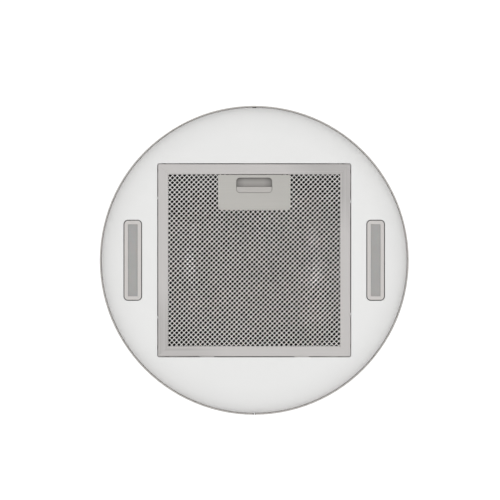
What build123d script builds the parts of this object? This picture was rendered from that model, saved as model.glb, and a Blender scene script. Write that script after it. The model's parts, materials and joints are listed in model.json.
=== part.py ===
from build123d import *
import math
import os

# Island range hood: a round hood hung from the ceiling.
# Millimetres. Origin at the centre of the ceiling plate's top face, +Z up, front towards -Y.

# overall
HOOD_R = 195.0
SHELL_T = 1.2
HOOD_BOTTOM = -801.0
SHELL_TOP = -260.0
SLEEVE_R = 192.0
SLEEVE_BOTTOM = -400.0
SEAM_W = 0.8
HEM_T = 1.5
HEM_H = 10.0

# ceiling plate
PLATE_R = 188.0
PLATE_T = 2.0
PLATE_FLANGE_H = 16.0
DUCT_OPENING_R = 115.0
CEILING_PCD = 300.0
CEILING_HOLE_R = 4.2
CABLE_POS = (128.0, 48.0)
GROMMET_HOLE_R = 8.0
CABLE_R = 5.0
SLEEVE_SCREW_Z = -9.0

# rails
RAIL_X = 85.0
RAIL_Y = 150.0
RAIL_LEG = 24.0
LOWER_RAIL_T = 1.5
LOWER_RAIL_TOP = -300.0
UPPER_RAIL_T = 2.0
RAIL_GAP = 0.5
UPPER_RAIL_BOTTOM = -505.0
RAIL_BOLT_X = 72.5
RAIL_BOLT_ZS = (-345.0, -310.0)
RAIL_BOLT_R = 3.0
RAIL_SLOT_W = 7.0
RAIL_SLOT_TOP = -100.0
RAIL_SLOT_BOTTOM = -480.0

# bottom panel and base ring
PANEL_R = 193.3
PANEL_T = 1.0
PANEL_FACE = -793.0
PANEL_EDGE_H = 9.0
PANEL_OPENING = 245.6
PANEL_RETURN_H = 9.0
NOTCH_W = 5.0
NOTCH_DEPTH = 0.7
RING_R = 193.7
RING_T = 2.0
RING_BOTTOM = -782.0
RING_FLANGE_H = 20.0
RING_OPENING = 250.0
PANEL_STUDS = [(150.0, 95.0), (-150.0, 95.0), (150.0, -95.0), (-150.0, -95.0),
               (0.0, 165.0), (0.0, -165.0)]

# lamps
LAMP_X = 153.7
LAMP_W = 22.2
LAMP_L = 101.2
LAMP_CORNER_R = 5.0
LAMP_GAP = 0.7
LAMP_FACE = -793.3
DIFFUSER_W = 12.1
DIFFUSER_L = 91.0
LAMP_TOP = -774.0

# grease filter
FILTER_SIZE = 243.6
FILTER_FACE = -793.5
FILTER_H = 9.0
FILTER_T = 1.0
FRAME_FACE_W = 13.1
MITRE_GAP = 0.04
MESH_SIZE = 240.0
MESH_PITCH = 8.54
MESH_STRAND = 2.8
TAB_X = 60.0
TAB_W = 18.0
TAB_REACH = 6.5

# filter latch
LATCH_PLATE_X = 91.8
LATCH_PLATE_Y = (-108.1, -63.5)
RECESS_X = 45.5
RECESS_Y = (-104.6, -85.3)
RECESS_R = 4.8
BOLT_W = 32.0
BOLT_TIP = -127.0
SLIDER_BOTTOM = -787.3
SLIDER_T = 1.5
LATCH_GAP = 0.3
LIP_GAP = 0.5
LIP_FRONT = -93.2
SPRING_X = 26.3
SPRING_Z = -789.9
SPRING_FRONT = -98.6
SPRING_BACK = -76.9

# blower, axis along X
BLOWER_Y = 25.0
BLOWER_Z = -580.0
SCROLL_HALF = 62.0
SCROLL_T = 2.0
SCROLL_R = (86.0, 94.0, 102.0)
THROAT_BACK = 30.0
THROAT_TOP = -476.0
IMPELLER_R = 76.0
HUB_X = -5.0
IMPELLER_HALF = 50.0
BLADE_COUNT = 36
SHAFT_R = 4.0
SHAFT_GAP = 0.05
MOTOR_R = 40.0
MOTOR_X0 = 4.0
BEARING_X = (6.0, 54.0)
BEARING_W = 7.0
BEARING_R = 11.0
ROTOR_R = 24.0
ROTOR_X = (20.0, 46.0)
INLET_R = 62.0
COLLAR_R = 74.5
COLLAR_T = 2.0
COLLAR_BOTTOM = -440.0
COLLAR_TOP = -394.0
FLAP_Z = -412.0
FLAP_R = 71.0
FLAP_PIN_R = 2.0
FLAP_PIN_GAP = 0.08
DECK_T = 2.0
FLANGE_TOP = -444.0
FLANGE_T = 2.0
MOUNT_XY = 69.0

# controls on the front
CONTROL_Z = -742.0
FASCIA_W = 108.0
FASCIA_H = 28.0
FASCIA_T = 2.0
BUTTON_R = 5.0
BUTTON_PITCH = 17.0
BUTTON_COUNT = 5
BUTTON_PROUD = 0.5
BUTTON_GAP = 0.4

BUTTON_TRAVEL_GAP = 0.4
SWITCH_TIP = -181.0
BOARD_Y = -177.0

# electronics box on the right
BOX_X = (106.0, 160.0)
BOX_Y = (-56.0, 56.0)
BOX_Z = (-700.0, -560.0)
BOX_T = 1.5
GLAND_POS = (133.0, 30.0)
GLAND_R = 8.0


def tube(r, t, z0, z1):
    outer = Pos(0, 0, (z0 + z1) / 2) * Cylinder(r, z1 - z0)
    inner = Pos(0, 0, (z0 + z1) / 2) * Cylinder(r - t, z1 - z0 + 2)
    return outer - inner


def disc(r, z0, z1, x=0.0, y=0.0):
    return Pos(x, y, (z0 + z1) / 2) * Cylinder(r, z1 - z0)


def slab(x0, x1, y0, y1, z0, z1):
    middle = Pos((x0 + x1) / 2, (y0 + y1) / 2, (z0 + z1) / 2)
    return middle * Box(x1 - x0, y1 - y0, z1 - z0)


def rounded_slab(w, length, r, z0, z1, x=0.0, y=0.0):
    outline = Pos(x, y, z0) * RectangleRounded(w, length, r)
    return extrude(outline, z1 - z0)


def rod_x(r, x0, x1, y, z):
    return Pos((x0 + x1) / 2, y, z) * Rot(0, 90, 0) * Cylinder(r, x1 - x0)


def rod_y(r, y0, y1, x, z):
    return Pos(x, (y0 + y1) / 2, z) * Rot(90, 0, 0) * Cylinder(r, y1 - y0)


def corners(x, y):
    return [(sx * x, sy * y) for sx in (1, -1) for sy in (1, -1)]


# ---------------------------------------------------------------- ceiling section

def ceiling_plate():
    plate = disc(PLATE_R, -PLATE_T, 0)
    plate += tube(PLATE_R, PLATE_T, -PLATE_FLANGE_H, -PLATE_T)
    plate -= disc(DUCT_OPENING_R, -PLATE_T - 1, 1)
    for i in range(4):
        a = math.radians(90 * i)
        x = CEILING_PCD / 2 * math.cos(a)
        y = CEILING_PCD / 2 * math.sin(a)
        plate -= disc(CEILING_HOLE_R, -PLATE_T - 1, 1, x, y)
    plate -= disc(GROMMET_HOLE_R, -PLATE_T - 1, 1, *CABLE_POS)
    for a in (45, 135, 225, 315):
        plate -= Rot(0, 0, a) * rod_x(1.7, PLATE_R - 5, PLATE_R + 5, 0, SLEEVE_SCREW_Z)
    return plate


def cable_grommet():
    body = disc(GROMMET_HOLE_R - 0.1, -PLATE_T - 2, -0.4, *CABLE_POS)
    body += disc(GROMMET_HOLE_R + 3, -PLATE_T - 4, -PLATE_T - 0.1, *CABLE_POS)
    return body - disc(CABLE_R, -PLATE_T - 5, 1, *CABLE_POS)


def upper_sleeve():
    sleeve = tube(SLEEVE_R, SHELL_T, SLEEVE_BOTTOM, -0.5)
    sleeve -= slab(-SEAM_W / 2, SEAM_W / 2, SLEEVE_R - 5, SLEEVE_R + 5, SLEEVE_BOTTOM - 1, 1)
    for a in (45, 135, 225, 315):
        sleeve -= Rot(0, 0, a) * rod_x(2.2, SLEEVE_R - 5, SLEEVE_R + 5, 0, SLEEVE_SCREW_Z)
    return sleeve


def sleeve_screws():
    screws = []
    for a in (45, 135, 225, 315):
        shank = rod_x(1.65, PLATE_R - 4, SLEEVE_R + 0.5, 0, SLEEVE_SCREW_Z)
        head = rod_x(3.6, SLEEVE_R + 0.1, SLEEVE_R + 2.2, 0, SLEEVE_SCREW_Z)
        head = fillet(head.edges().sort_by(Axis.X)[-1], 1.0)
        drive = Pos(SLEEVE_R + 2.2, 0, SLEEVE_SCREW_Z) * (Box(2.0, 3.6, 0.8) + Box(2.0, 0.8, 3.6))
        screws.append(Rot(0, 0, a) * (shank + head - drive))
    return Compound(children=screws)


def angle_rail(x, y, t, leg, z0, z1, sx, sy):
    # outer corner at (x, y), legs reaching towards the hood's middle
    along_x = slab(x - leg, x, y - t, y, z0, z1)
    along_y = slab(x - t, x, y - leg, y, z0, z1)
    rail = along_x + along_y
    if sx < 0:
        rail = mirror(rail, Plane.YZ)
    if sy < 0:
        rail = mirror(rail, Plane.XZ)
    return rail


def upper_rails():
    rails = []
    x = RAIL_X + RAIL_GAP + UPPER_RAIL_T
    y = RAIL_Y + RAIL_GAP + UPPER_RAIL_T
    slot_h = RAIL_SLOT_TOP - RAIL_SLOT_BOTTOM
    slot_mid = (RAIL_SLOT_TOP + RAIL_SLOT_BOTTOM) / 2
    for sx, sy in corners(1, 1):
        rail = angle_rail(x, y, UPPER_RAIL_T, RAIL_LEG + 2.5, UPPER_RAIL_BOTTOM, -PLATE_T, sx, sy)
        foot = slab(x - RAIL_LEG, x - UPPER_RAIL_T, y - RAIL_LEG, y - UPPER_RAIL_T,
                    -PLATE_T - 3, -PLATE_T)
        if sx < 0:
            foot = mirror(foot, Plane.YZ)
        if sy < 0:
            foot = mirror(foot, Plane.XZ)
        rail += foot
        outline = Plane.XZ * Pos(sx * RAIL_BOLT_X, slot_mid) * SlotOverall(slot_h, RAIL_SLOT_W, 90)
        rail -= Pos(0, sy * RAIL_Y, 0) * extrude(outline, 8, both=True)
        rails.append(rail)
    return Compound(children=rails)


# ---------------------------------------------------------------- hood frame and shell

def lower_rails():
    rails = []
    z0 = RING_BOTTOM + RING_T
    for sx, sy in corners(1, 1):
        rail = angle_rail(RAIL_X, RAIL_Y, LOWER_RAIL_T, RAIL_LEG, z0, LOWER_RAIL_TOP, sx, sy)
        foot = slab(RAIL_X - RAIL_LEG, RAIL_X - LOWER_RAIL_T, RAIL_Y - RAIL_LEG + 1,
                    RAIL_Y - LOWER_RAIL_T, z0, z0 + LOWER_RAIL_T)
        if sx < 0:
            foot = mirror(foot, Plane.YZ)
        if sy < 0:
            foot = mirror(foot, Plane.XZ)
        rail += foot
        for z in RAIL_BOLT_ZS:
            rail -= rod_y(RAIL_BOLT_R + 0.2, -8, 8, sx * RAIL_BOLT_X, z).moved(
                Location((0, sy * RAIL_Y, 0)))
        rails.append(rail)
    return Compound(children=rails)


def rail_fasteners():
    pieces = []
    head_y = RAIL_Y + RAIL_GAP + UPPER_RAIL_T + 0.3
    for sx, sy in corners(1, 1):
        for z in RAIL_BOLT_ZS:
            shank = rod_y(RAIL_BOLT_R, RAIL_Y - 10, head_y, RAIL_BOLT_X, z)
            washer = rod_y(6.5, head_y, head_y + 1.2, RAIL_BOLT_X, z)
            flat = Plane.XZ * Pos(RAIL_BOLT_X, z) * RegularPolygon(5.6, 6)
            head = Pos(0, head_y + 1.2, 0) * extrude(flat, -4)
            nut = Pos(0, RAIL_Y - LOWER_RAIL_T, 0) * extrude(flat, 5)
            nut -= rod_y(RAIL_BOLT_R, RAIL_Y - 12, RAIL_Y, RAIL_BOLT_X, z)
            for piece in (shank + washer + head, nut):
                if sx < 0:
                    piece = mirror(piece, Plane.YZ)
                if sy < 0:
                    piece = mirror(piece, Plane.XZ)
                pieces.append(piece)
    return Compound(children=pieces)


def lower_shell():
    shell = tube(HOOD_R, SHELL_T, HOOD_BOTTOM + HEM_T, SHELL_TOP)
    hem = tube(HOOD_R, HEM_T, HOOD_BOTTOM, HOOD_BOTTOM + HEM_H)
    hem = fillet(hem.edges().filter_by(GeomType.CIRCLE).group_by(Axis.Z)[0], HEM_T / 2 - 0.05)
    shell += hem
    slit = slab(-SEAM_W / 2, SEAM_W / 2, HOOD_R - 8, HOOD_R + 8, HOOD_BOTTOM - 1, SHELL_TOP + 1)
    window = slab(-FASCIA_W / 2 - 0.3, FASCIA_W / 2 + 0.3, -HOOD_R - 5, -HOOD_R + 25,
                  CONTROL_Z - FASCIA_H / 2 - 0.3, CONTROL_Z + FASCIA_H / 2 + 0.3)
    return shell - slit - window


def shell_seam_strip():
    strip = tube(HOOD_R - SHELL_T - 0.05, 0.8, RING_BOTTOM + RING_FLANGE_H + 2, SHELL_TOP - 2)
    return strip & slab(-11, 11, HOOD_R - 20, HOOD_R + 5, HOOD_BOTTOM, SHELL_TOP)


def lamp_opening(z0, z1, grow):
    cut = []
    for side in (-1, 1):
        cut.append(rounded_slab(LAMP_W + 2 * grow, LAMP_L + 2 * grow, LAMP_CORNER_R + grow,
                                z0, z1, side * LAMP_X))
    return cut


def base_ring():
    ring = disc(RING_R, RING_BOTTOM, RING_BOTTOM + RING_T)
    ring += tube(RING_R, RING_T, RING_BOTTOM, RING_BOTTOM + RING_FLANGE_H)
    ring -= rounded_slab(RING_OPENING, RING_OPENING, 4, RING_BOTTOM - 1, RING_BOTTOM + 3)
    for cut in lamp_opening(RING_BOTTOM - 1, RING_BOTTOM + 3, 0.4):
        ring -= cut
    for x, y in PANEL_STUDS:
        ring -= disc(2.3, RING_BOTTOM - 1, RING_BOTTOM + 3, x, y)
    window = slab(-FASCIA_W / 2, FASCIA_W / 2, -HOOD_R, -HOOD_R + 25,
                  CONTROL_Z - FASCIA_H / 2 - 12, 0)
    return ring - window


def bottom_panel():
    z1 = PANEL_FACE + PANEL_T
    half = PANEL_OPENING / 2
    panel = disc(PANEL_R, PANEL_FACE, z1)
    panel += tube(PANEL_R, PANEL_T, PANEL_FACE, PANEL_FACE + PANEL_EDGE_H)
    panel += rounded_slab(PANEL_OPENING + 2, PANEL_OPENING + 2, 3.5, PANEL_FACE,
                          PANEL_FACE + PANEL_RETURN_H)
    panel -= rounded_slab(PANEL_OPENING, PANEL_OPENING, 2.5, PANEL_FACE - 1, 0)
    # room for the latch bolt at the front and for the filter's tabs at the rear
    panel -= slab(-BOLT_W / 2 - 3, BOLT_W / 2 + 3, -half - 3, -half + 1, SLIDER_BOTTOM - 0.4, 0)
    for side in (-1, 1):
        x = side * TAB_X
        panel -= slab(x - TAB_W / 2 - 2, x + TAB_W / 2 + 2, half - 1, half + 3, z1, 0)
    for cut in lamp_opening(PANEL_FACE - 1, z1 + 1, LAMP_GAP):
        panel -= cut
    panel -= slab(-NOTCH_W / 2, NOTCH_W / 2, -PANEL_R - 1, -PANEL_R + NOTCH_DEPTH, PANEL_FACE - 1,
                  PANEL_FACE + 5)
    edge = panel.edges().filter_by(GeomType.CIRCLE).group_by(Axis.Z)[0]
    rim = [e for e in edge if e.radius > PANEL_R - 0.01]
    return fillet(rim, 0.3)


def panel_fasteners():
    pieces = []
    for x, y in PANEL_STUDS:
        z1 = PANEL_FACE + PANEL_T
        stud = disc(2.0, z1, RING_BOTTOM + RING_T + 8, x, y)
        stud += disc(4.5, z1, RING_BOTTOM, x, y)
        pieces.append(stud)
        flat = Pos(x, y, RING_BOTTOM + RING_T) * RegularPolygon(4.0, 6)
        pieces.append(extrude(flat, 3.2) - disc(2.05, -790, -770, x, y))
    return Compound(children=pieces)


# ---------------------------------------------------------------- lamps

def lamp_bezel(side):
    x = side * LAMP_X
    bezel = rounded_slab(LAMP_W, LAMP_L, LAMP_CORNER_R, LAMP_FACE, LAMP_FACE + 3, x)
    bezel = fillet(bezel.edges().group_by(Axis.Z)[0], 0.9)
    bezel += rounded_slab(LAMP_W - 1, LAMP_L - 1, LAMP_CORNER_R, LAMP_FACE + 3, RING_BOTTOM - 1, x)
    bezel -= rounded_slab(DIFFUSER_W, DIFFUSER_L, 0.6, LAMP_FACE - 1, LAMP_FACE + 4, x)
    bezel -= rounded_slab(LAMP_W - 3, LAMP_L - 3, 4, LAMP_FACE + 1.2, 0, x)
    return bezel


def lamp_diffuser(side):
    x = side * LAMP_X
    plate = rounded_slab(DIFFUSER_W - 0.2, DIFFUSER_L - 0.2, 0.5, LAMP_FACE + 0.6, LAMP_FACE + 1.3, x)
    return plate + rounded_slab(LAMP_W - 3.4, LAMP_L - 3.4, 3.8, LAMP_FACE + 1.3, LAMP_FACE + 3, x)


def lamp_boards():
    boards = []
    for side in (-1, 1):
        x = side * LAMP_X
        z0 = RING_BOTTOM - 2
        board = slab(x - 8, x + 8, -46, 46, z0, z0 + 1.2)
        for i in range(6):
            y = -37.5 + 15 * i
            board += slab(x - 1.8, x + 1.8, y - 1.8, y + 1.8, z0 - 0.8, z0)
        boards.append(board)
    return Compound(children=boards)


def lamp_housings():
    cups = []
    for side in (-1, 1):
        x = side * LAMP_X
        z0 = RING_BOTTOM - 0.8
        cup = rounded_slab(LAMP_W - 0.2, LAMP_L - 0.2, LAMP_CORNER_R, z0, LAMP_TOP, x)
        cup -= rounded_slab(LAMP_W - 3, LAMP_L - 3, 4, z0 - 1, LAMP_TOP - 1.4, x)
        for i in range(5):
            y = -34 + 17 * i
            cup += slab(x - 9, x + 9, y - 1, y + 1, LAMP_TOP, LAMP_TOP + 5)
        cups.append(cup)
    return Compound(children=cups)


# ---------------------------------------------------------------- grease filter

def frame_rail(turn):
    # built along the front side, then turned about the filter's centre
    half = FILTER_SIZE / 2
    inner = half - FRAME_FACE_W
    z0 = FILTER_FACE
    z1 = FILTER_FACE + FILTER_H
    rail = slab(-half, half, -half, -inner, z0, z1)
    rail -= slab(-half - 1, half + 1, -half + FILTER_T, -inner + 1, z0 + FILTER_T, z1 - FILTER_T)
    # a light bevel along the inner edge of the face
    bevel = rail.edges().filter_by(Axis.X).group_by(Axis.Z)[0].sort_by(Axis.Y)[-1]
    rail = chamfer(bevel, 0.5)
    outer = rail.edges().filter_by(Axis.X).group_by(Axis.Z)[0].sort_by(Axis.Y)[0]
    rail = fillet(outer, 0.9)
    near = half - MITRE_GAP
    far = half - 40
    wedge = make_face(Polyline((-near, -half), (near, -half), (far, -half + 40 - MITRE_GAP),
                               (-far, -half + 40 - MITRE_GAP), close=True))
    rail &= extrude(Pos(0, 0, z0 - 1) * wedge, FILTER_H + 2)
    corner = rounded_slab(FILTER_SIZE, FILTER_SIZE, 1.5, z0 - 1, z1 + 1)
    return Rot(0, 0, turn) * (rail & corner)


def frame_front():
    rail = frame_rail(0)
    half = FILTER_SIZE / 2
    slot = slab(-BOLT_W / 2 - 1, BOLT_W / 2 + 1, -half - 1, -half + 2, SLIDER_BOTTOM - 0.4,
                SLIDER_BOTTOM + SLIDER_T + 0.3)
    return rail - slot


def frame_rear():
    rail = frame_rail(180)
    half = FILTER_SIZE / 2
    z0 = PANEL_FACE + PANEL_T + LATCH_GAP
    for side in (-1, 1):
        x = side * TAB_X
        tab = slab(x - TAB_W / 2, x + TAB_W / 2, half - 0.5, half + TAB_REACH, z0, z0 + 1)
        rail += fillet(tab.edges().filter_by(Axis.Z).group_by(Axis.Y)[-1], 2.5)
    return rail


def lattice(z0, t, pitch, strand, angle, cut):
    # sheet with square windows, turned by angle; only whole windows are cut
    half = MESH_SIZE / 2
    hole = (pitch - strand) / 2
    reach = int(half * 1.5 / pitch) + 2
    a = math.radians(angle)
    windows = []
    for i in range(-reach, reach + 1):
        for j in range(-reach, reach + 1):
            x = pitch * (i * math.cos(a) - j * math.sin(a))
            y = pitch * (i * math.sin(a) + j * math.cos(a))
            if max(abs(x), abs(y)) > half - pitch:
                continue
            in_cut = cut[0] - pitch < x < cut[1] + pitch and cut[2] - pitch < y < cut[3] + pitch
            if in_cut:
                continue
            square = Pos(x, y) * Rot(0, 0, angle) * Rectangle(2 * hole, 2 * hole)
            windows.append(square.wire())
    outer = Rectangle(MESH_SIZE, MESH_SIZE).wire()
    sheet = extrude(Pos(0, 0, z0) * Face(outer, windows), t)
    return sheet - slab(*cut, z0 - 1, z0 + t + 1)


MESH_CUT = (-33.0, 33.0, -121.0, -72.0)


def front_mesh():
    return lattice(FILTER_FACE + 1.1, 1.2, MESH_PITCH, MESH_STRAND, 45, MESH_CUT)


def inner_mesh():
    return lattice(FILTER_FACE + 3.0, 3.0, MESH_PITCH, MESH_STRAND, 0, MESH_CUT)


def rear_mesh():
    return lattice(FILTER_FACE + 6.7, 1.2, MESH_PITCH, MESH_STRAND, 45, MESH_CUT)


def latch_plate():
    y0, y1 = LATCH_PLATE_Y
    z0 = FILTER_FACE + 0.1
    plate = slab(-LATCH_PLATE_X / 2, LATCH_PLATE_X / 2, y0, y1, z0, z0 + 0.9)
    plate = fillet(plate.edges().filter_by(Axis.Z).group_by(Axis.Y)[-1], 3.8)
    middle = (RECESS_Y[0] + RECESS_Y[1]) / 2
    return plate - rounded_slab(RECESS_X, RECESS_Y[1] - RECESS_Y[0], RECESS_R, z0 - 1, z0 + 2,
                                0, middle)


def latch_housing():
    z0 = FILTER_FACE + 1.0
    z1 = FILTER_FACE + FILTER_H
    cup = slab(-31, 31, -107.5, -75.5, z0, z1)
    cup -= slab(-30, 30, -106.5, -76.5, z0 - 1, z1 - 1)
    cup -= slab(-BOLT_W / 2 - 1, BOLT_W / 2 + 1, -108, -106, SLIDER_BOTTOM - 0.4, z1 - 1)
    return cup


def latch_slider():
    # bolt and plate in one, with a lip for the fingertips and an ear in front of each spring
    z0 = SLIDER_BOTTOM
    z1 = z0 + SLIDER_T
    bolt = slab(-BOLT_W / 2, BOLT_W / 2, BOLT_TIP, -104, z0, z1)
    bolt = fillet(bolt.edges().filter_by(Axis.Z).group_by(Axis.Y)[0], 3)
    plate = slab(-29, 29, -105.5, RECESS_Y[1] + 2.3, z0, z1)
    lip_z = FILTER_FACE + 1.3
    # the lip fills the rear of the finger slot, with a narrow gap round it
    outline = Plane.XY * Pos(0, (RECESS_Y[0] + RECESS_Y[1]) / 2) * RectangleRounded(
        RECESS_X - 2 * LIP_GAP, RECESS_Y[1] - RECESS_Y[0] - 2 * LIP_GAP, RECESS_R - LIP_GAP)
    lip = extrude(Pos(0, 0, lip_z) * outline, z1 - lip_z)
    lip &= slab(-RECESS_X, RECESS_X, LIP_FRONT, 0, lip_z - 1, z1)
    lip = fillet(lip.edges().filter_by(Axis.X).group_by(Axis.Z)[0].sort_by(Axis.Y)[0], 0.8)
    slider = bolt + plate + lip
    for side in (-1, 1):
        x = side * SPRING_X
        slider += slab(x - 2.7, x + 2.7, SPRING_FRONT - 2.4, SPRING_FRONT - 0.4, lip_z + 0.2, z1)
    return slider


def latch_springs():
    springs = []
    for side in (-1, 1):
        path = Helix(pitch=2.7, height=SPRING_BACK - SPRING_FRONT, radius=1.9)
        start = Plane(origin=path @ 0, z_dir=path % 0)
        coil = sweep(start * Circle(0.25), path)
        springs.append(Pos(side * SPRING_X, SPRING_FRONT, SPRING_Z) * Rot(-90, 0, 0) * coil)
    return Compound(children=springs)


# ---------------------------------------------------------------- blower

def scroll_solid(grow, x0, x1):
    # spiral in three steps, winding by the rear, the bottom and the front, with its throat upwards
    y, z = BLOWER_Y, BLOWER_Z
    r0 = SCROLL_R[0] + grow
    r1 = SCROLL_R[1] + grow
    r2 = SCROLL_R[2] + grow
    k = math.sqrt(0.5)
    tongue = y + THROAT_BACK + grow
    lines = [
        ThreePointArc((y, z + r0), (y + r0 * k, z + r0 * k), (y + r0, z)),
        Line((y + r0, z), (y + r1, z)),
        ThreePointArc((y + r1, z), (y + r1 * k, z - r1 * k), (y, z - r1)),
        Line((y, z - r1), (y, z - r2)),
        ThreePointArc((y, z - r2), (y - r2 * k, z - r2 * k), (y - r2, z)),
        Line((y - r2, z), (y - r2, THROAT_TOP)),
        Line((y - r2, THROAT_TOP), (tongue, THROAT_TOP)),
        Line((tongue, THROAT_TOP), (tongue, z + r0)),
        Line((tongue, z + r0), (y, z + r0)),
    ]
    outline = make_face(Wire(lines))
    return Pos(x0, 0, 0) * extrude(Plane.YZ * outline, x1 - x0)


def volute(side):
    half = scroll_solid(SCROLL_T, 0, SCROLL_HALF)
    half -= scroll_solid(0, -1, SCROLL_HALF - SCROLL_T)
    half -= rod_x(INLET_R, SCROLL_HALF - 5, SCROLL_HALF + 5, BLOWER_Y, BLOWER_Z)
    # open throat
    y0 = BLOWER_Y - SCROLL_R[2]
    half -= slab(-1, SCROLL_HALF - SCROLL_T, y0, BLOWER_Y + THROAT_BACK, THROAT_TOP - 5, THROAT_TOP + 1)
    return half if side > 0 else mirror(half, Plane.YZ)


def inlet_grille():
    x0 = -SCROLL_HALF - 2
    x1 = -SCROLL_HALF
    grille = rod_x(INLET_R + 8, x0, x1, BLOWER_Y, BLOWER_Z)
    grille -= rod_x(INLET_R - 2, x0 - 1, x1 + 1, BLOWER_Y, BLOWER_Z)
    for r in (18, 32, 46):
        grille += rod_x(r + 1.2, x0, x1, BLOWER_Y, BLOWER_Z) - rod_x(r - 1.2, x0 - 1, x1 + 1,
                                                                     BLOWER_Y, BLOWER_Z)
    for i in range(6):
        spoke = slab(x0, x1, 14, INLET_R, -1.5, 1.5)
        grille += Pos(0, BLOWER_Y, BLOWER_Z) * Rot(60 * i + 15, 0, 0) * spoke
    return grille + rod_x(14.5, x0, x1, BLOWER_Y, BLOWER_Z)


def motor_bracket():
    x0 = SCROLL_HALF
    x1 = SCROLL_HALF + 2.5
    y, z = BLOWER_Y, BLOWER_Z
    bracket = rod_x(INLET_R + 8, x0, x1, y, z) - rod_x(INLET_R - 2, x0 - 1, x1 + 1, y, z)
    bracket += rod_x(MOTOR_R + 2, x0, x1, y, z)
    for i in range(3):
        arm = slab(x0, x1, MOTOR_R, INLET_R, -6, 6)
        bracket += Pos(0, y, z) * Rot(120 * i + 90, 0, 0) * arm
    bracket += rod_x(BEARING_R + 2.5, BEARING_X[1], x0, y, z)
    bracket -= rod_x(BEARING_R, BEARING_X[1] - 1, x0, y, z)
    return bracket - rod_x(SHAFT_R + 2, x0 - 1, x1 + 1, y, z)


def motor_case():
    y, z = BLOWER_Y, BLOWER_Z
    case = rod_x(MOTOR_R, MOTOR_X0, SCROLL_HALF, y, z)
    case = fillet(case.edges().filter_by(GeomType.CIRCLE).sort_by(Axis.X)[0], 4)
    case -= rod_x(MOTOR_R - 2, MOTOR_X0 + 2, SCROLL_HALF + 1, y, z)
    case += rod_x(BEARING_R + 2.5, MOTOR_X0 + 2, BEARING_X[0] + BEARING_W, y, z)
    case -= rod_x(BEARING_R, MOTOR_X0 + 2, BEARING_X[0] + BEARING_W + 1, y, z)
    return case - rod_x(SHAFT_R + 2, MOTOR_X0 - 1, MOTOR_X0 + 3, y, z)


def motor_bearings():
    rings = []
    for x in BEARING_X:
        ring = rod_x(BEARING_R - 0.05, x, x + BEARING_W, BLOWER_Y, BLOWER_Z)
        rings.append(ring - rod_x(SHAFT_R + SHAFT_GAP, x - 1, x + BEARING_W + 1, BLOWER_Y, BLOWER_Z))
    return Compound(children=rings)


def stator():
    y, z = BLOWER_Y, BLOWER_Z
    ring = rod_x(MOTOR_R - 2.1, ROTOR_X[0], ROTOR_X[1], y, z)
    ring -= rod_x(ROTOR_R + 0.5, ROTOR_X[0] - 1, ROTOR_X[1] + 1, y, z)
    for i in range(12):
        slot = slab(ROTOR_X[0] - 1, ROTOR_X[1] + 1, ROTOR_R + 3, ROTOR_R + 9, -2, 2)
        ring -= Pos(0, y, z) * Rot(30 * i, 0, 0) * slot
    return ring


def motor_shaft():
    y, z = BLOWER_Y, BLOWER_Z
    shaft = rod_x(SHAFT_R, HUB_X - 12, SCROLL_HALF + 1, y, z)
    return shaft + rod_x(ROTOR_R, ROTOR_X[0], ROTOR_X[1], y, z)


def impeller_wheel():
    inner_r = IMPELLER_R - 13
    blade_mid = IMPELLER_R - 6.5
    solids = []

    def point(r, degrees):
        a = math.radians(degrees)
        return (r * math.cos(a), r * math.sin(a))

    for i in range(BLADE_COUNT):
        a = 360 / BLADE_COUNT * i
        face_line = ThreePointArc(point(inner_r, a), point(blade_mid, a + 2),
                                  point(IMPELLER_R - 0.5, a + 8))
        back_line = ThreePointArc(point(inner_r, a + 1), point(blade_mid, a + 3.2),
                                  point(IMPELLER_R - 0.5, a + 8.8))
        ends = [Line(face_line @ 0, back_line @ 0), Line(face_line @ 1, back_line @ 1)]
        blade = make_face(Wire([face_line, ends[1], back_line, ends[0]]))
        solids.append(extrude(blade, 2 * IMPELLER_HALF))
    ring = Cylinder(IMPELLER_R, 2) - Cylinder(inner_r - 0.5, 3)
    wheel = Pos(0, 0, 0) * ring
    wheel += Pos(0, 0, 2 * IMPELLER_HALF) * ring
    wheel += Pos(0, 0, IMPELLER_HALF + HUB_X) * Cylinder(IMPELLER_R - 1, 2)
    wheel += Pos(0, 0, IMPELLER_HALF + HUB_X - 6) * Cylinder(11, 12)
    wheel += solids
    wheel -= Pos(0, 0, IMPELLER_HALF + HUB_X) * Cylinder(SHAFT_R, 40)
    for i in range(6):
        hole = Pos(38, 0, IMPELLER_HALF + HUB_X) * Cylinder(9, 6)
        wheel -= Rot(0, 0, 60 * i) * hole
    return Pos(-IMPELLER_HALF, BLOWER_Y, BLOWER_Z) * Rot(0, 90, 0) * wheel


def blower_deck():
    x = RAIL_X - LOWER_RAIL_T
    y = RAIL_Y - LOWER_RAIL_T
    deck = slab(-x, x, -y, y, COLLAR_BOTTOM, COLLAR_BOTTOM + DECK_T)
    for sy in (1, -1):
        deck += slab(-x, x, sy * y - 0.75 * (1 + sy), sy * y + 0.75 * (1 - sy), COLLAR_BOTTOM,
                     COLLAR_BOTTOM + 14)
    deck -= disc(COLLAR_R + 1.5, COLLAR_BOTTOM - 1, COLLAR_BOTTOM + 3)
    for px, py in corners(MOUNT_XY, MOUNT_XY):
        deck -= disc(2.7, COLLAR_BOTTOM - 1, COLLAR_BOTTOM + 3, px, py)
    return deck


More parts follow.
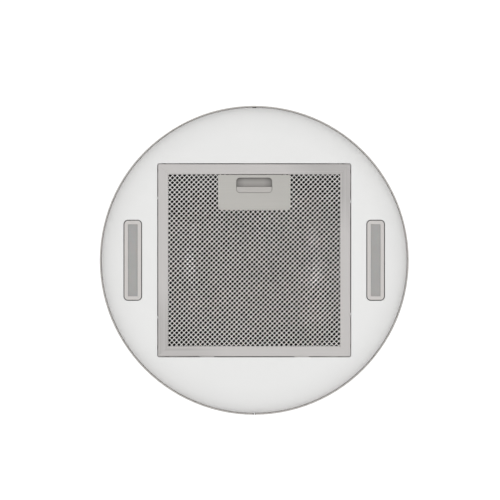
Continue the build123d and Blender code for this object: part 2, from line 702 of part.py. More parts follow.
def blower_mounts():
    # a rubber ring between deck and flange at each corner, with its screw and nut
    pieces = []
    z0 = FLANGE_TOP - FLANGE_T
    top = COLLAR_BOTTOM + DECK_T
    for px, py in corners(MOUNT_XY, MOUNT_XY):
        screw = disc(2.5, z0, top + 6, px, py) + disc(5, z0 - 3, z0, px, py)
        screw -= Pos(px, py, z0 - 3) * (Box(6, 1, 2) + Box(1, 6, 2))
        flat = Pos(px, py, top) * RegularPolygon(4.6, 6)
        pieces.append(screw + extrude(flat, 4))
        ring = disc(7, FLANGE_TOP, COLLAR_BOTTOM, px, py)
        pieces.append(ring - disc(2.7, FLANGE_TOP - 1, COLLAR_BOTTOM + 1, px, py))
    return Compound(children=pieces)


def outlet_adapter():
    # square plenum over the scroll's throat, its flange and round spigot on top
    y0 = BLOWER_Y - SCROLL_R[2]
    y1 = BLOWER_Y + THROAT_BACK
    x1 = SCROLL_HALF - SCROLL_T
    t = SCROLL_T
    flange_z = FLANGE_TOP - FLANGE_T
    spigot_r = COLLAR_R - COLLAR_T - 0.5
    body = slab(-x1 - t, x1 + t, min(y0, -spigot_r) - t, max(y1, spigot_r) + t, THROAT_TOP, flange_z)
    body += slab(-75, 75, -80, 76, flange_z, FLANGE_TOP)
    body += disc(spigot_r, FLANGE_TOP, COLLAR_BOTTOM + DECK_T + 6)
    body -= slab(-x1, x1, min(y0, -spigot_r), max(y1, spigot_r), THROAT_TOP + t, flange_z)
    body -= slab(-x1, x1, y0, y1, THROAT_TOP - 1, THROAT_TOP + t)
    body -= disc(spigot_r - 2, flange_z - 1, COLLAR_BOTTOM + 20) & slab(-x1, x1, -90, 90, -500, 0)
    for px, py in corners(MOUNT_XY, MOUNT_XY):
        body -= disc(2.7, flange_z - 1, FLANGE_TOP + 1, px, py)
    return body


def outlet_collar():
    z0 = COLLAR_BOTTOM + DECK_T
    collar = tube(COLLAR_R, COLLAR_T, z0, COLLAR_TOP)
    collar += tube(COLLAR_R + 12, 13, z0, z0 + 2)
    # ledge the flaps close on, clear of the pin
    collar += tube(COLLAR_R - 1, 4, FLAP_Z - 3, FLAP_Z - 1.2)
    return collar - rod_x(FLAP_PIN_R + 0.02, -COLLAR_R - 5, COLLAR_R + 5, 0, FLAP_Z)


def damper_pin():
    return rod_x(FLAP_PIN_R, -COLLAR_R + 0.2, COLLAR_R - 0.2, 0, FLAP_Z)


def damper_flap(side):
    # side +1 is the rear flap, -1 the front one; their knuckles interleave along the pin
    spans = [(-66, -48), (-18, 0.0), (30, 48)] if side > 0 else [(-42, -24), (6, 24), (54, 66)]
    flap = disc(FLAP_R, FLAP_Z - 0.6, FLAP_Z + 0.6) & slab(-80, 80, 4.5, 80, FLAP_Z - 5, FLAP_Z + 5)
    for x0, x1 in spans:
        flap += slab(x0, x1, 0, 5, FLAP_Z - 0.6, FLAP_Z + 0.6)
        flap += rod_x(3.6, x0, x1, 0, FLAP_Z)
    flap -= rod_x(FLAP_PIN_R + FLAP_PIN_GAP, -90, 90, 0, FLAP_Z)
    return flap if side > 0 else mirror(flap, Plane.XZ)


# ---------------------------------------------------------------- electronics

def box_bracket():
    legs = []
    z0 = RING_BOTTOM + RING_T
    for side in (-1, 1):
        y = side * BOX_Y[1]
        leg = slab(128, 150, min(y, y + side * BOX_T), max(y, y + side * BOX_T), z0, BOX_Z[1] - 20)
        foot_y = y + side * 14
        leg += slab(128, 150, min(y, foot_y), max(y, foot_y), z0, z0 + BOX_T)
        legs.append(leg)
    return Compound(children=legs)


def control_box():
    x0, x1 = BOX_X
    y0, y1 = BOX_Y
    z0, z1 = BOX_Z
    box = slab(x0, x1, y0, y1, z0, z1)
    box -= slab(x0 + BOX_T, x1 + 1, y0 + BOX_T, y1 - BOX_T, z0 + BOX_T, z1 - BOX_T)
    return box - disc(GLAND_R, z1 - 5, z1 + 1, *GLAND_POS)


def box_lid():
    x1 = BOX_X[1]
    lid = slab(x1, x1 + BOX_T, *BOX_Y, *BOX_Z)
    for sy in (1, -1):
        for z in (BOX_Z[0] + 12, BOX_Z[1] - 12):
            lid += rod_x(3.5, x1 + BOX_T, x1 + BOX_T + 2, sy * (BOX_Y[1] - 8), z)
    return lid


def power_board():
    x0 = BOX_X[0] + BOX_T + 6
    board = slab(x0, x0 + 1.6, -48, 48, BOX_Z[0] + 8, BOX_Z[1] - 22)
    board += slab(x0 + 1.6, x0 + 22, -44, -14, BOX_Z[0] + 14, BOX_Z[0] + 42)
    for i in range(4):
        y = -2 + 13 * i
        board += slab(x0 + 1.6, x0 + 16, y, y + 9.5, BOX_Z[0] + 14, BOX_Z[0] + 32)
    for sy in (-1, 1):
        for z in (BOX_Z[0] + 14, BOX_Z[1] - 28):
            board += rod_x(2.5, BOX_X[0] + BOX_T, x0, sy * 44, z)
    return board


def capacitor():
    x0 = BOX_X[0] + BOX_T + 7.6
    can = disc(14, BOX_Z[0] + 48, BOX_Z[1] - 34, x0 + 14.2, -28)
    can = fillet(can.edges().filter_by(GeomType.CIRCLE), 1.5)
    return can + disc(3, BOX_Z[1] - 34, BOX_Z[1] - 27, x0 + 14.2, -28)


def terminal_block():
    x0 = BOX_X[0] + BOX_T + 7.6
    block = slab(x0, x0 + 18, 8, 44, BOX_Z[1] - 50, BOX_Z[1] - 30)
    for i in range(3):
        y = 14 + 12 * i
        block -= rod_x(3, x0 + 8, x0 + 19, y, BOX_Z[1] - 40)
        block -= disc(2.4, BOX_Z[1] - 38, BOX_Z[1] - 28, x0 + 9, y)
    return block


def cable_gland():
    z1 = BOX_Z[1]
    flat = Pos(*GLAND_POS, z1) * RegularPolygon(GLAND_R + 4, 6)
    gland = extrude(flat, 5) + disc(GLAND_R + 1, z1 + 5, z1 + 14, *GLAND_POS)
    gland += disc(GLAND_R - 0.1, z1 - 8, z1, *GLAND_POS)
    return gland - disc(CABLE_R, z1 - 10, z1 + 20, *GLAND_POS)


# ---------------------------------------------------------------- controls

def button_x(index):
    return BUTTON_PITCH * (index - (BUTTON_COUNT - 1) / 2)


def fascia():
    z0 = CONTROL_Z - FASCIA_H / 2
    z1 = CONTROL_Z + FASCIA_H / 2
    plate = tube(HOOD_R, FASCIA_T, z0, z1)
    plate &= slab(-FASCIA_W / 2, FASCIA_W / 2, -HOOD_R - 1, -HOOD_R + 25, z0, z1)
    for i in range(BUTTON_COUNT):
        plate -= rod_y(BUTTON_R + BUTTON_GAP, -HOOD_R - 5, -HOOD_R + 25, button_x(i), CONTROL_Z)
    return plate


def push_button(index):
    x = button_x(index)
    back = -math.sqrt(HOOD_R ** 2 - (abs(x) + BUTTON_R + 1) ** 2) + FASCIA_T + BUTTON_TRAVEL_GAP
    cap = rod_y(BUTTON_R, -HOOD_R - 3, back + 1, x, CONTROL_Z)
    cap &= disc(HOOD_R + BUTTON_PROUD, CONTROL_Z - 20, CONTROL_Z + 20)
    cap += rod_y(BUTTON_R + 1.2, back, back + 1.5, x, CONTROL_Z)
    return cap + rod_y(1.8, back + 1, SWITCH_TIP - 1.5, x, CONTROL_Z)


def control_board():
    # board with a soldered switch behind each button
    board = slab(-44, 44, BOARD_Y, BOARD_Y + 1.6, CONTROL_Z - 11, CONTROL_Z + 11)
    for i in range(BUTTON_COUNT):
        x = button_x(i)
        board += slab(x - 3, x + 3, SWITCH_TIP + 1, BOARD_Y, CONTROL_Z - 3, CONTROL_Z + 3)
        board += rod_y(1.7, SWITCH_TIP, SWITCH_TIP + 1, x, CONTROL_Z)
    return board


def control_housing():
    z0 = CONTROL_Z - FASCIA_H / 2
    z1 = CONTROL_Z + FASCIA_H / 2
    outer = slab(-FASCIA_W / 2, FASCIA_W / 2, -HOOD_R, BOARD_Y + 5, z0, z1)
    outer &= disc(HOOD_R - FASCIA_T, z0, z1)
    outer -= slab(-FASCIA_W / 2 + 2, FASCIA_W / 2 - 2, -HOOD_R - 1, BOARD_Y + 3.2, z0 + 2, z1 - 2)
    for side in (-1, 1):
        post = slab(side * 46 - 3, side * 46 + 3, BOARD_Y - 2, BOARD_Y + 4, z0 + 1, z1 - 1)
        outer += post - slab(-44.2, 44.2, BOARD_Y - 0.1, BOARD_Y + 1.7, z0, z1)
    return outer


# ---------------------------------------------------------------- output

NODES = {
    "ceiling_plate": ceiling_plate,
    "cable_grommet": cable_grommet,
    "upper_rails": upper_rails,
    "upper_sleeve": upper_sleeve,
    "sleeve_screws": sleeve_screws,
    "lower_rails": lower_rails,
    "rail_fasteners": rail_fasteners,
    "lower_shell": lower_shell,
    "shell_seam_strip": shell_seam_strip,
    "base_ring": base_ring,
    "bottom_panel": bottom_panel,
    "panel_fasteners": panel_fasteners,
    "lamp_bezel_left": lambda: lamp_bezel(-1),
    "lamp_bezel_right": lambda: lamp_bezel(1),
    "lamp_diffuser_left": lambda: lamp_diffuser(-1),
    "lamp_diffuser_right": lambda: lamp_diffuser(1),
    "lamp_boards": lamp_boards,
    "lamp_housings": lamp_housings,
    "filter_frame_front": frame_front,
    "filter_frame_right": lambda: frame_rail(90),
    "filter_frame_rear": frame_rear,
    "filter_frame_left": lambda: frame_rail(270),
    "filter_front_mesh": front_mesh,
    "filter_inner_mesh": inner_mesh,
    "filter_rear_mesh": rear_mesh,
    "latch_plate": latch_plate,
    "latch_housing": latch_housing,
    "latch_slider": latch_slider,
    "latch_springs": latch_springs,
    "volute_left": lambda: volute(-1),
    "volute_right": lambda: volute(1),
    "inlet_grille": inlet_grille,
    "motor_bracket": motor_bracket,
    "motor_case": motor_case,
    "motor_bearings": motor_bearings,
    "stator": stator,
    "motor_shaft": motor_shaft,
    "impeller_wheel": impeller_wheel,
    "blower_deck": blower_deck,
    "blower_mounts": blower_mounts,
    "outlet_adapter": outlet_adapter,
    "outlet_collar": outlet_collar,
    "damper_pin": damper_pin,
    "damper_flap_front": lambda: damper_flap(-1),
    "damper_flap_rear": lambda: damper_flap(1),
    "box_bracket": box_bracket,
    "control_box": control_box,
    "box_lid": box_lid,
    "power_board": power_board,
    "capacitor": capacitor,
    "terminal_block": terminal_block,
    "cable_gland": cable_gland,
    "fascia": fascia,
    "control_board": control_board,
    "control_housing": control_housing,
}

for number in range(BUTTON_COUNT):
    NODES[f"button_{number + 1}"] = lambda number=number: push_button(number)

os.makedirs("parts", exist_ok=True)
for node, build in NODES.items():
    export_step(build(), f"parts/{node}.step")
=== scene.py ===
import json
import math

import bpy
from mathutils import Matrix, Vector, noise


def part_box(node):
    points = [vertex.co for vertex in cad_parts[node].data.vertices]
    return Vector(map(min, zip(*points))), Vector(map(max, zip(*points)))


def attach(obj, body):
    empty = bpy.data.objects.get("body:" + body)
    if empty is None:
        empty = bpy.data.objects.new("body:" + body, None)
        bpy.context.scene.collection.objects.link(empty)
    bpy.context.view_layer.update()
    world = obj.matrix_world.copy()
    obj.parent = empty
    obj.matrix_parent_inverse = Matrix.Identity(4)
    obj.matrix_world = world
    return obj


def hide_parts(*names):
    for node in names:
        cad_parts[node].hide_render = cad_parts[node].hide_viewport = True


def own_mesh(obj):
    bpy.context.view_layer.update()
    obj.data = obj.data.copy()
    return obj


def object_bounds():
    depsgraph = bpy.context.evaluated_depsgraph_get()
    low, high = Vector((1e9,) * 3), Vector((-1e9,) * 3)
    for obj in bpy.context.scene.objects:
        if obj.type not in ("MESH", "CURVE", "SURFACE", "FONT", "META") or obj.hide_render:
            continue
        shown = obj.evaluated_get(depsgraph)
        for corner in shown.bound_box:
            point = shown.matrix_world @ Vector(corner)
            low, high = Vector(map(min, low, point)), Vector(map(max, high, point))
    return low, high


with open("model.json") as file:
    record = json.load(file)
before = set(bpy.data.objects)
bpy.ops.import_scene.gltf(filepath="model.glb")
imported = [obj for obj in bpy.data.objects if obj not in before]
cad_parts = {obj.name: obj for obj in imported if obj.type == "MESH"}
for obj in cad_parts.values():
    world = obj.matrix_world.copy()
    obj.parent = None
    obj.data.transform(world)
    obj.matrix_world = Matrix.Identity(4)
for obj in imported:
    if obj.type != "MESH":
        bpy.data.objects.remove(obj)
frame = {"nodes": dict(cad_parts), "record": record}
CAD_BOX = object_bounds()
NODES = frame["nodes"]

# ---------------------------------------------------------------- sizes, in metres

MM = 0.001
MESH_PITCH = (4.188 * MM, 4.361 * MM)   # between the strands of each family
MESH_HALF = 113 * MM       # the frame hides the mesh beyond this
MESH_TURN = math.radians(44.9)
MESH_SHIFT = (-0.38 * MM, -0.895 * MM)  # from the hood's axis to the middle of the first cell
STRAND = 0.9 * MM          # width of the outer mesh's strands
LATCH_CLEAR = 3 * MM       # no cell's middle is nearer to the latch's housing
SLOT_BACK = 33.8 * MM      # from the slider's front end back to where its lip begins
SHARP_ANGLE = math.radians(28)
VIEW_WIDTH = 630.8 * MM    # width of the picture at the hood's underside
VIEW_X = -5.35 * MM        # middle of the picture
VIEW_Y = -13.0 * MM
LENS = 135.0
SENSOR = 36.0
FLOOR_HALF = 60.0
FLOOR_DROP = 0.5           # below the camera
WORLD_STRENGTH = 1.1


# ---------------------------------------------------------------- material helpers

def linear(r, g, b):
    def one(v):
        v = v / 255
        return v / 12.92 if v <= 0.04045 else ((v + 0.055) / 1.055) ** 2.4
    return (one(r), one(g), one(b), 1.0)


class Look:
    """A node material with the few moves that every material here is made from."""

    def __init__(self, name, colour, rough, metal=0.0):
        self.mat = bpy.data.materials.new(name)
        self.mat.use_nodes = True
        self.tree = self.mat.node_tree
        self.bsdf = self.tree.nodes["Principled BSDF"]
        self.colour = colour
        self.bsdf.inputs["Base Color"].default_value = colour
        self.bsdf.inputs["Roughness"].default_value = rough
        self.bsdf.inputs["Metallic"].default_value = metal
        self.coords = self.tree.nodes.new("ShaderNodeTexCoord").outputs["Object"]
        self.height = None

    def node(self, kind, **settings):
        made = self.tree.nodes.new(kind)
        for key, value in settings.items():
            setattr(made, key, value)
        return made

    def link(self, a, b):
        self.tree.links.new(a, b)

    def noise(self, scale, stretch=(1, 1, 1), detail=3.0, rough=0.55):
        place = self.node("ShaderNodeMapping")
        place.inputs["Scale"].default_value = stretch
        self.link(self.coords, place.inputs["Vector"])
        made = self.node("ShaderNodeTexNoise")
        made.inputs["Scale"].default_value = scale
        made.inputs["Detail"].default_value = detail
        made.inputs["Roughness"].default_value = rough
        self.link(place.outputs["Vector"], made.inputs["Vector"])
        return made.outputs["Fac"]

    def spread(self, value, low, high, start=0.3, end=0.7):
        made = self.node("ShaderNodeMapRange")
        made.inputs["From Min"].default_value = start
        made.inputs["From Max"].default_value = end
        made.inputs["To Min"].default_value = low
        made.inputs["To Max"].default_value = high
        self.link(value, made.inputs["Value"])
        return made.outputs["Result"]

    def roughness(self, value, low, high):
        self.link(self.spread(value, low, high), self.bsdf.inputs["Roughness"])

    def axis(self, name):
        made = self.node("ShaderNodeSeparateXYZ")
        self.link(self.coords, made.inputs["Vector"])
        return made.outputs[name]

    def math(self, operation, *values):
        made = self.node("ShaderNodeMath", operation=operation)
        for socket, value in zip(made.inputs, values):
            if isinstance(value, (int, float)):
                socket.default_value = value
            else:
                self.link(value, socket)
        return made.outputs["Value"]

    def tint(self, value, darkest, lightest=1.0, start=0.3, end=0.7):
        """Scales what feeds the base colour by a pattern."""
        self.scale(self.spread(value, darkest, lightest, start, end))

    def scale(self, scale):
        mix = self.node("ShaderNodeMix", data_type="RGBA", blend_type="MULTIPLY")
        mix.inputs["Factor"].default_value = 1.0
        base = self.bsdf.inputs["Base Color"]
        if base.links:
            self.link(base.links[0].from_socket, mix.inputs["A"])
        else:
            mix.inputs["A"].default_value = self.colour
        self.link(scale, mix.inputs["B"])
        self.link(mix.outputs["Result"], base)

    def bump(self, value, distance, strength=1.0):
        made = self.node("ShaderNodeBump")
        made.inputs["Distance"].default_value = distance
        made.inputs["Strength"].default_value = strength
        self.link(value, made.inputs["Height"])
        if self.height:
            self.link(self.height, made.inputs["Normal"])
        self.height = made.outputs["Normal"]
        self.link(self.height, self.bsdf.inputs["Normal"])

    def set(self, **values):
        for key, value in values.items():
            self.bsdf.inputs[key.replace("_", " ")].default_value = value


# ---------------------------------------------------------------- materials

# how brushing stretches a pattern: few changes along the grain, many across it
VERTICAL = (900.0, 900.0, 6.0)
ALONG_X = (10.0, 1500.0, 1500.0)
ALONG_Y = (1500.0, 10.0, 1500.0)


def brushed_steel(name, colour, stretch, rough=0.34):
    look = Look(name, colour, rough, 1.0)
    grain = look.noise(1.0, stretch, 4.0, 0.7)
    look.roughness(grain, rough - 0.06, rough + 0.1)
    look.tint(grain, 0.90)
    look.tint(look.noise(9.0, detail=2.0), 0.96)
    look.bump(grain, 0.00004, 0.5)
    return look.mat


def shell_steel():
    """Brushed along the height, with a dark line where the rolled sheet's edges meet at the rear."""
    look = Look("shell_steel", linear(196, 192, 189), 0.34, 1.0)
    grain = look.noise(1.0, VERTICAL, 4.0, 0.7)
    look.roughness(grain, 0.28, 0.44)
    look.tint(grain, 0.90)
    look.tint(look.noise(9.0, detail=2.0), 0.96)
    seam = look.spread(look.math("ABSOLUTE", look.axis("X")), 0.55, 0.0, 1.6 * MM, 2.2 * MM)
    rear = look.spread(look.axis("Y"), 0.0, 1.0, 0.1, 0.11)
    look.scale(look.math("SUBTRACT", 1.0, look.math("MULTIPLY", seam, rear)))
    look.bump(grain, 0.00004, 0.5)
    return look.mat


def rail_steel(name, stretch):
    """Frame steel: fine grain, and broad darker streaks towards two opposite corners: a painted
    reflection.
    """
    look = Look(name, linear(205, 202, 201), 0.34, 1.0)
    grain = look.noise(1.0, stretch, 4.0, 0.7)
    look.roughness(grain, 0.28, 0.42)
    look.tint(grain, 0.955)
    # painted reflection: broad darker streaks, kept to two opposite corners by the diagonal mask
    wide = tuple(0.2 * part for part in stretch)
    reflection_streaks = look.spread(look.noise(1.0, wide, 1.0, 0.5), 0.80, 0.93, 0.35, 0.65)
    diagonal = look.math("SUBTRACT", look.axis("X"), look.axis("Y"))
    corner = look.spread(look.math("ABSOLUTE", diagonal), 0.0, 1.0, 0.150, 0.195)
    painted_darkening = look.math("MULTIPLY", corner, look.math("SUBTRACT", 1.0, reflection_streaks))
    look.scale(look.math("SUBTRACT", 1.0, painted_darkening))
    look.bump(grain, 0.00004, 0.5)
    return look.mat


def latch_steel():
    """Brushed steel, with painted shade down in the finger recess and towards its walls."""
    look = Look("latch_steel", linear(194, 191, 188), 0.36, 1.0)
    grain = look.noise(1.0, ALONG_X, 4.0, 0.7)
    look.roughness(grain, 0.32, 0.46)
    look.tint(grain, 0.95)
    low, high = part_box("latch_slider")
    lip_edge = low.y + SLOT_BACK
    y = look.axis("Y")
    # painted shade: the recess floor, set back from the lip's face, is darkened, most towards its ends,
    # its far edge and the lip
    across = look.spread(look.math("ABSOLUTE", look.axis("X")), 1.0, 0.72, 12 * MM, 22.5 * MM)
    front = look.spread(y, 0.74, 1.0, lip_edge - 11 * MM, lip_edge - 6.5 * MM)
    back = look.spread(y, 1.0, 0.84, lip_edge - 5 * MM, lip_edge - 1 * MM)
    shade = look.math("MULTIPLY", look.math("MULTIPLY", across, front), back)
    depth = look.spread(look.axis("Z"), 0.0, 1.0, low.z + 0.5 * MM, low.z + 4 * MM)
    left = look.math("MULTIPLY", shade, 0.74)
    painted_darkening = look.math("MULTIPLY", depth, look.math("SUBTRACT", 1.0, left))
    look.scale(look.math("SUBTRACT", 1.0, painted_darkening))
    look.bump(grain, 0.00004, 0.5)
    return look.mat


def white_lacquer():
    look = Look("white_lacquer", linear(240, 240, 240), 0.35)
    orange_peel = look.noise(900.0, detail=1.0)
    look.roughness(look.noise(25.0), 0.30, 0.42)
    look.tint(look.noise(6.0, detail=2.0), 0.985)
    # painted shade: the lacquer darkens towards the rim, where the recessed panel meets the shell's wall
    x = look.axis("X")
    y = look.axis("Y")
    squares = look.math("ADD", look.math("MULTIPLY", x, x), look.math("MULTIPLY", y, y))
    radius = look.math("SQRT", squares)
    look.tint(radius, 1.0, 0.955, 0.160, 0.193)
    look.bump(orange_peel, 0.00002, 0.3)
    look.set(Coat_Weight=0.25, Coat_Roughness=0.15)
    return look.mat


def galvanised():
    look = Look("galvanised_steel", (0.50, 0.51, 0.52, 1), 0.45, 1.0)
    cells = look.node("ShaderNodeTexVoronoi")
    cells.inputs["Scale"].default_value = 110.0
    look.link(look.coords, cells.inputs["Vector"])
    shade = look.node("ShaderNodeRGBToBW")
    look.link(cells.outputs["Color"], shade.inputs["Color"])
    look.tint(shade.outputs["Val"], 0.80, 1.0, 0.1, 0.9)
    look.roughness(shade.outputs["Val"], 0.36, 0.52)
    look.bump(look.noise(300.0), 0.00005, 0.4)
    return look.mat


def mesh_metal(name, node, colour, rough, sides):
    """Bright on the strands' crowns and darker down their sides: painted shade where the strands turn
    into the holes.
    """
    look = Look(name, colour, rough, 1.0)
    low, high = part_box(node)
    # painted shade: darker from the crowns down the strands' sides towards the sheet's back
    look.tint(look.axis("Z"), 1.0, sides, low.z + 0.05 * MM, low.z + 0.5 * (high.z - low.z))
    look.tint(look.noise(160.0, detail=2.0), 0.88)
    look.tint(look.noise(14.0, detail=2.0), 0.92)
    look.roughness(look.noise(420.0), rough - 0.08, rough + 0.12)
    look.bump(look.noise(2200.0, detail=2.0), 0.00006, 0.5)
    return look.mat


def satin_trim():
    look = Look("lamp_trim", linear(211, 207, 205), 0.42, 0.15)
    grain = look.noise(1.0, (900, 60, 900), 3.0)
    look.roughness(grain, 0.36, 0.5)
    look.tint(grain, 0.96)
    # painted shade: the bezel's sides, just above its face, are darkened nearly to black as if in the
    # shadow of the gap round it
    low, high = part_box("lamp_bezel_left")
    look.tint(look.axis("Z"), 1.0, 0.12, low.z + 0.04 * MM, low.z + 0.2 * MM)
    look.bump(look.noise(1500.0), 0.00002, 0.3)
    return look.mat


def frosted():
    look = Look("frosted_diffuser", linear(171, 170, 169), 0.55)
    look.tint(look.noise(60.0, detail=2.0), 0.96)
    look.roughness(look.noise(700.0), 0.5, 0.65)
    look.bump(look.noise(2500.0, detail=1.0), 0.00003, 0.5)
    look.set(Subsurface_Weight=0.15, Subsurface_Scale=0.002)
    return look.mat


def moulded(name, colour, rough, coat=0.0):
    look = Look(name, colour, rough)
    look.roughness(look.noise(120.0), rough - 0.06, rough + 0.1)
    look.tint(look.noise(18.0), 0.86)
    look.bump(look.noise(1800.0, detail=2.0), 0.00004, 0.45)
    look.set(Coat_Weight=coat)
    return look.mat


def plated(name, colour, rough=0.28):
    look = Look(name, colour, rough, 1.0)
    look.roughness(look.noise(500.0), rough - 0.06, rough + 0.12)
    look.tint(look.noise(90.0), 0.88)
    look.bump(look.noise(1600.0), 0.00003, 0.4)
    return look.mat


def circuit_board():
    look = Look("board_green", (0.016, 0.11, 0.045, 1), 0.3)
    bricks = look.node("ShaderNodeTexBrick")
    bricks.inputs["Scale"].default_value = 140.0
    bricks.inputs["Mortar Size"].default_value = 0.06
    bricks.inputs["Color1"].default_value = (0.012, 0.09, 0.036, 1)
    bricks.inputs["Color2"].default_value = (0.02, 0.13, 0.055, 1)
    bricks.inputs["Mortar"].default_value = (0.05, 0.25, 0.10, 1)
    look.link(look.coords, bricks.inputs["Vector"])
    look.link(bricks.outputs["Color"], look.bsdf.inputs["Base Color"])
    look.roughness(look.noise(260.0), 0.24, 0.4)
    look.bump(bricks.outputs["Fac"], 0.00005, 0.4)
    return look.mat


def casting():
    look = Look("cast_motor", (0.20, 0.205, 0.21, 1), 0.55, 0.6)
    look.roughness(look.noise(200.0), 0.48, 0.68)
    look.tint(look.noise(40.0), 0.82)
    look.bump(look.noise(900.0, detail=4.0), 0.0001, 0.6)
    return look.mat


STEEL = linear(205, 201, 199)

SLOTS = {
    "galvanised_steel": galvanised(),
    "brushed_stainless": brushed_steel("brushed_stainless", linear(196, 192, 189), VERTICAL),
    "white_lacquer": white_lacquer(),
    "lamp_trim": satin_trim(),
    "frosted_diffuser": frosted(),
    "zinc_fastener": plated("zinc_fastener", (0.60, 0.60, 0.57, 1)),
    "black_plastic": moulded("black_plastic", (0.022, 0.022, 0.024, 1), 0.5),
    "grey_plastic": moulded("grey_plastic", (0.16, 0.165, 0.17, 1), 0.46),
    "rubber_seal": moulded("rubber_seal", (0.014, 0.014, 0.014, 1), 0.8),
    "board_green": circuit_board(),
    "cast_motor": casting(),
    "core_steel": plated("core_steel", (0.30, 0.29, 0.28, 1), 0.42),
    "fascia_black": moulded("fascia_black", (0.010, 0.010, 0.012, 1), 0.18, 0.6),
    "button_steel": brushed_steel("button_steel", STEEL, ALONG_X, 0.3),
    "filter_mesh": mesh_metal("filter_mesh", "filter_front_mesh", linear(252, 250, 248), 0.36, 0.10),
}
RAIL_X = rail_steel("rail_grain_x", ALONG_X)
RAIL_Y = rail_steel("rail_grain_y", ALONG_Y)
PLATE = brushed_steel("plate_grain", linear(197, 195, 191), ALONG_X)
OWN = {
    "lower_shell": shell_steel(),
    "filter_frame_front": RAIL_X,
    "filter_frame_rear": RAIL_X,
    "filter_frame_left": RAIL_Y,
    "filter_frame_right": RAIL_Y,
    "latch_plate": PLATE,
    "latch_slider": latch_steel(),
}


def dress(obj, mat):
    obj.data.materials.clear()
    obj.data.materials.append(mat)


def dress_nodes():
    for part in frame["record"]["subparts"]:
        node = part["node"]
        dress(NODES[node], OWN.get(node) or SLOTS[part["material_slot"]])


def soften_edges():
    """Smooth shading over curved faces, and clean corners where faces meet at an angle."""
    for obj in NODES.values():
        for polygon in obj.data.polygons:
            polygon.use_smooth = True
        obj.data.set_sharp_from_angle(angle=SHARP_ANGLE)


# ---------------------------------------------------------------- filter mesh

def add_mesh(name, points, faces, mat, body, slot, *replaced):
    mesh = bpy.data.meshes.new(name)
    mesh.from_pydata(points, [], faces)
    mesh.update()
    for polygon in mesh.polygons:
        polygon.use_smooth = True
    obj = bpy.data.objects.new(name, mesh)
    bpy.context.scene.collection.objects.link(obj)
    obj.data.materials.append(mat)
    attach(obj, body)
    if replaced:
        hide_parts(*replaced)
    return obj


def expanded_mesh(name, node, pitch, width, turn, shift, wobble, mat):
    """Expanded metal: near-square cells turned by an angle. Pairs give both families of strands."""
    low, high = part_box(node)
    depth = high.z - low.z
    latch_low, latch_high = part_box("latch_housing")
    c, s = math.cos(turn), math.sin(turn)
    half = (pitch[0] / 2, pitch[1] / 2)
    index = {}
    points = []
    faces = []

    def place(u, v):
        return u * c - v * s, u * s + v * c

    def point(u, v, z):
        key = (round(u * 1e6), round(v * 1e6), round(z * 1e6))
        if key not in index:
            x, y = place(u, v)
            move = noise.noise_vector(Vector((x, y, z * 3)) * 260) * wobble
            index[key] = len(points)
            points.append((x + move.x, y + move.y, z + move.z))
        return index[key]

    def wanted(i, j):
        x, y = place(i * pitch[0] + shift[0], j * pitch[1] + shift[1])
        behind_latch = (latch_low.x - LATCH_CLEAR < x < latch_high.x + LATCH_CLEAR
                        and latch_low.y - 0.01 < y < latch_high.y + LATCH_CLEAR)
        return max(abs(x), abs(y)) < MESH_HALF and not behind_latch

    ring = [(-1, -1), (0, -1), (1, -1), (1, 0), (1, 1), (0, 1), (-1, 1), (-1, 0)]
    sides = [(0, -1), (1, 0), (0, 1), (-1, 0)]
    # shares of the strands' width and of the sheet's depth, from their middle lines over their
    # crowns, down into the hole and along their backs
    steps = ((0.0, 0.0), (0.43, 0.05), (0.5, 0.42), (0.52, 1.0), (0.0, 1.0))
    crossing_sag = 0.02
    reach = int(MESH_HALF * 1.5 / min(pitch)) + 2
    cells = [(i, j) for i in range(-reach, reach + 1) for j in range(-reach, reach + 1) if wanted(i, j)]
    kept = set(cells)
    for i, j in cells:
        u0 = i * pitch[0] + shift[0]
        v0 = j * pitch[1] + shift[1]
        rows = []
        for inset, rise in steps:
            reach_u = half[0] - inset * width[0]
            reach_v = half[1] - inset * width[1]
            row = []
            for a, b in ring:
                sag = crossing_sag if rise < 0.1 and a == 0 else 0.0
                row.append(point(u0 + a * reach_u, v0 + b * reach_v, low.z + depth * (rise + sag)))
            rows.append(row)
        for first, second in zip(rows, rows[1:]):
            for k in range(8):
                n = (k + 1) % 8
                faces.append((first[k], second[k], second[n], first[n]))
        front, back = rows[0], rows[-1]
        for side, (da, db) in enumerate(sides):
            if (i + da, j + db) in kept:
                continue
            for k in (2 * side, 2 * side + 1):
                n = (k + 1) % 8
                faces.append((front[k], front[n], back[n], back[k]))
    return add_mesh(name, points, faces, mat, "filter", "filter_mesh", node)


def filter_layers():
    # painted shade: the inner and rear layers get near-black colours, which darken the holes of the
    # front mesh
    inner = mesh_metal("inner_layer", "filter_inner_mesh", linear(52, 50, 49), 0.42, 0.3)
    rear = mesh_metal("rear_layer", "filter_rear_mesh", linear(30, 29, 29), 0.45, 0.5)
    small = (0.93 * MESH_PITCH[0], 0.93 * MESH_PITCH[1])
    expanded_mesh("front_mesh", "filter_front_mesh", MESH_PITCH, (STRAND, STRAND),
                  MESH_TURN, MESH_SHIFT, 0.16 * MM, SLOTS["filter_mesh"])
    expanded_mesh("inner_mesh", "filter_inner_mesh", small, (1.6 * MM, 1.4 * MM),
                  math.radians(47.5), (1.1 * MM, 1.1 * MM), 0.5 * MM, inner)
    expanded_mesh("rear_mesh", "filter_rear_mesh", MESH_PITCH, (1.9 * MM, 1.6 * MM),
                  math.radians(45), (2.0 * MM, 2.0 * MM), 0.16 * MM, rear)


# ---------------------------------------------------------------- latch springs

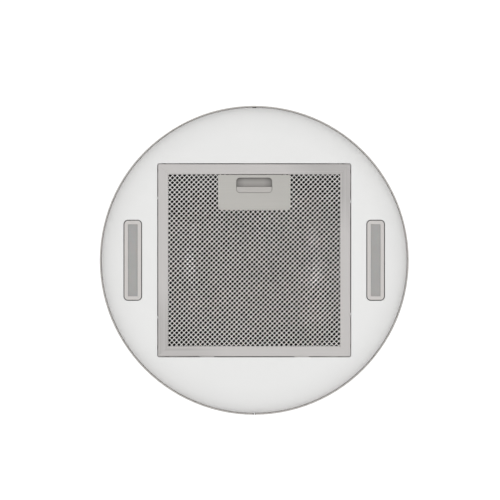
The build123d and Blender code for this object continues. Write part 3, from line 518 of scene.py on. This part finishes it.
def latch_springs():
    """Two coils of wire in the latch's spring housing."""
    wire = 0.25 * MM
    coil_r = 1.9 * MM
    turns = 9
    steps = 24
    sides = 8
    low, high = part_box("latch_springs")
    middle_z = (low.z + high.z) / 2
    start = low.y + wire
    length = high.y - low.y - 2 * wire
    points = []
    faces = []
    for middle_x in (low.x + coil_r + wire, high.x - coil_r - wire):
        base = len(points)
        count = turns * steps
        for step in range(count + 1):
            share = step / count
            # the turns are spaced wider at each end and closer in the middle
            along = share + 0.035 * math.sin(2 * math.pi * share)
            a = 2 * math.pi * step / steps
            out = Vector((math.cos(a), 0, math.sin(a)))
            centre = Vector((middle_x, start + length * along, middle_z)) + out * coil_r
            for side in range(sides):
                b = 2 * math.pi * side / sides
                points.append(centre + out * wire * math.cos(b) + Vector((0, wire * math.sin(b), 0)))
        for step in range(count):
            for side in range(sides):
                k = base + step * sides
                n = (side + 1) % sides
                faces.append((k + side, k + n, k + sides + n, k + sides + side))
        faces.append(tuple(base + side for side in reversed(range(sides))))
        faces.append(tuple(base + count * sides + side for side in range(sides)))
    coils = add_mesh("latch_coils", points, faces, SLOTS["zinc_fastener"], "filter", "zinc_fastener",
                     "latch_springs")
    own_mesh(coils)


# ---------------------------------------------------------------- stage

def sheet(name, corners, colour):
    mesh = bpy.data.meshes.new(name)
    mesh.from_pydata(corners, [], [(0, 1, 2, 3)])
    obj = bpy.data.objects.new(name, mesh)
    bpy.context.scene.collection.objects.link(obj)
    look = Look(name, colour, 0.9)
    look.tint(look.noise(0.8, detail=2.0), 0.985)
    obj.data.materials.append(look.mat)
    return obj


def floor():
    z = CAD_BOX[0][2] - camera_distance() - FLOOR_DROP
    corners = [(x * FLOOR_HALF, y * FLOOR_HALF, z) for x, y in ((-1, -1), (1, -1), (1, 1), (-1, 1))]
    sheet("floor", corners, linear(238, 238, 237))


def flags():
    """Dark cards round the hood, out of the camera's sight, that give the steel something to reflect."""
    distance = 2.6
    low = Vector((0, 0, -1.3))
    high = Vector((0, 0, 0.9))
    turns_and_widths = ((20, 0.9), (100, 0.7), (160, 0.5), (215, 0.9), (300, 0.8))
    for number, (turn, width) in enumerate(turns_and_widths):
        a = math.radians(turn)
        out = Vector((math.cos(a), math.sin(a), 0)) * distance
        side = Vector((-math.sin(a), math.cos(a), 0)) * width / 2
        corners = [out - side + low, out + side + low, out + side + high, out - side + high]
        card = sheet(f"flag_{number}", corners, linear(70, 70, 70))
        card.visible_camera = False


def camera_distance():
    return VIEW_WIDTH / 2 / (SENSOR / 2 / LENS)


def camera():
    data = bpy.data.cameras.new("camera")
    data.lens = LENS
    data.sensor_width = SENSOR
    data.clip_end = 60
    obj = bpy.data.objects.new("camera", data)
    obj.location = (VIEW_X, VIEW_Y, CAD_BOX[0][2] - camera_distance())
    obj.rotation_euler = (math.pi, 0, 0)
    bpy.context.scene.collection.objects.link(obj)
    bpy.context.scene.camera = obj


def area_light(name, place, target, size, power):
    data = bpy.data.lights.new(name, "AREA")
    data.shape = "DISK"
    data.size = size
    data.energy = power
    obj = bpy.data.objects.new(name, data)
    obj.location = place
    obj.rotation_euler = (Vector(target) - Vector(place)).to_track_quat("-Z", "Y").to_euler()
    obj.visible_camera = False
    bpy.context.scene.collection.objects.link(obj)


def lights():
    world = bpy.data.worlds.new("studio")
    world.use_nodes = True
    background = world.node_tree.nodes["Background"]
    background.inputs["Color"].default_value = (1, 1, 1, 1)
    background.inputs["Strength"].default_value = WORLD_STRENGTH
    bpy.context.scene.world = world
    middle = (0, 0, -0.4)
    area_light("key", (-1.7, -2.6, 0.4), middle, 1.1, 26)
    area_light("fill", (2.6, 1.6, 0.2), middle, 1.0, 14)


dress_nodes()
soften_edges()
filter_layers()
latch_springs()
camera()
floor()
flags()
lights()
bpy.context.scene.view_settings.view_transform = "Standard"
